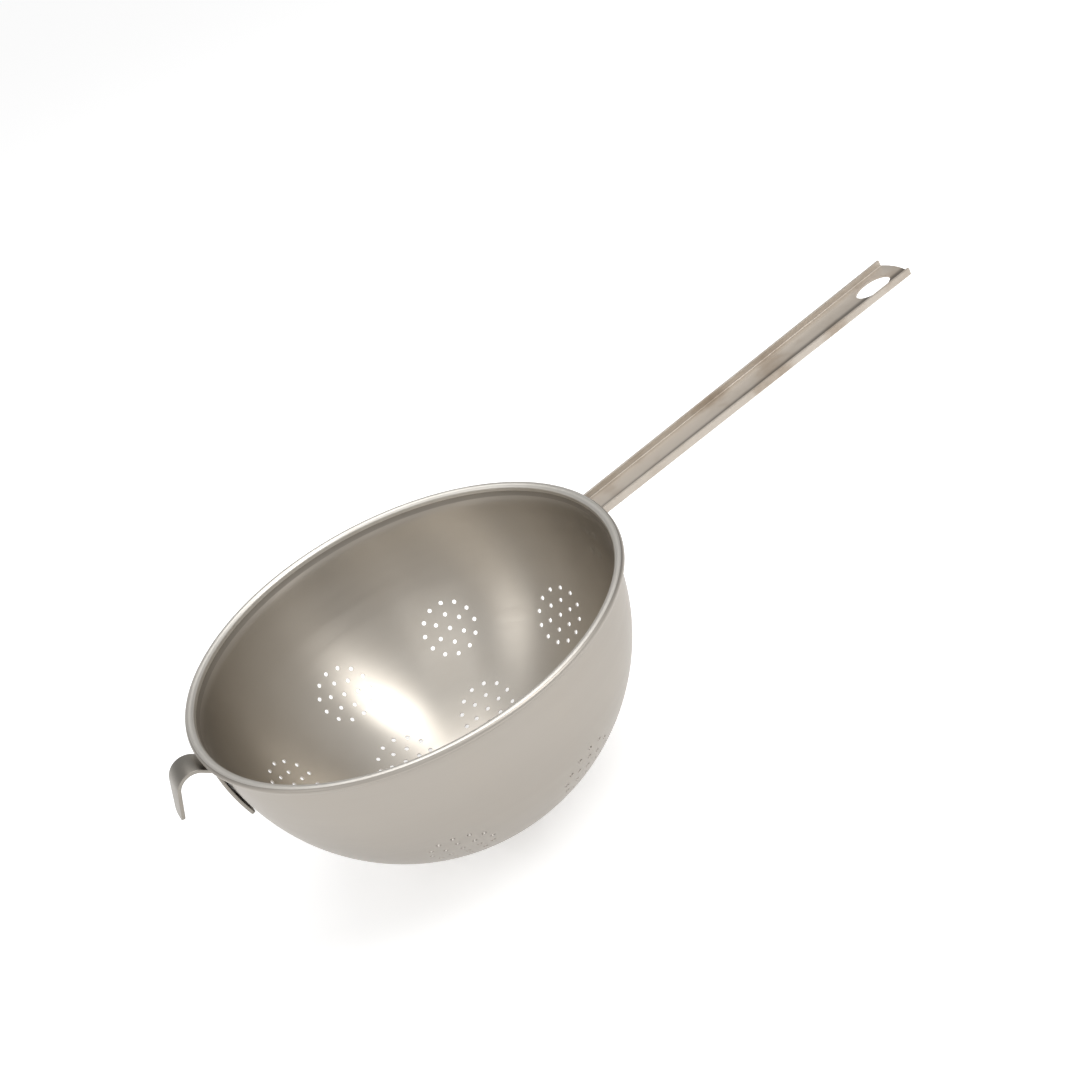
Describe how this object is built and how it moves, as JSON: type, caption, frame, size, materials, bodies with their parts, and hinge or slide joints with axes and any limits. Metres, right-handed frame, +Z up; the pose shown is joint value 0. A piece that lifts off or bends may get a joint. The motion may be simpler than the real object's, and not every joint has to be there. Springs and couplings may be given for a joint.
{
  "type": "kitchen sieve",
  "caption": "Half-round sheet-steel kitchen sieve with a rolled rim, punched rosettes of holes, a folded channel handle with a hanging hole, and a hook opposite that rests on a pot's rim.",
  "frame": {"origin": "centre of the bounding box at its lowest point, the bottom of the bowl", "axes": "+X along the sieve from the hook to the handle's end, +Y across it, +Z up along the bowl's axis towards its mouth"},
  "size_m": [0.3986, 0.197, 0.1182],
  "materials": {
    "bowl_steel": "satin, brushed in circles inside the bowl",
    "handle_steel": "dull satin with faint brownish mottling",
    "hook_steel": "dull satin",
    "weld_steel": "bare weld metal between two sheets"
  },
  "bodies": {
    "root": {"bowl": "bowl_steel", "handle": "handle_steel", "hook": "hook_steel", "handle_weld_1": "weld_steel", "handle_weld_2": "weld_steel", "handle_weld_3": "weld_steel", "handle_weld_4": "weld_steel", "hook_weld_1": "weld_steel", "hook_weld_2": "weld_steel"}
  },
  "joints": []
}
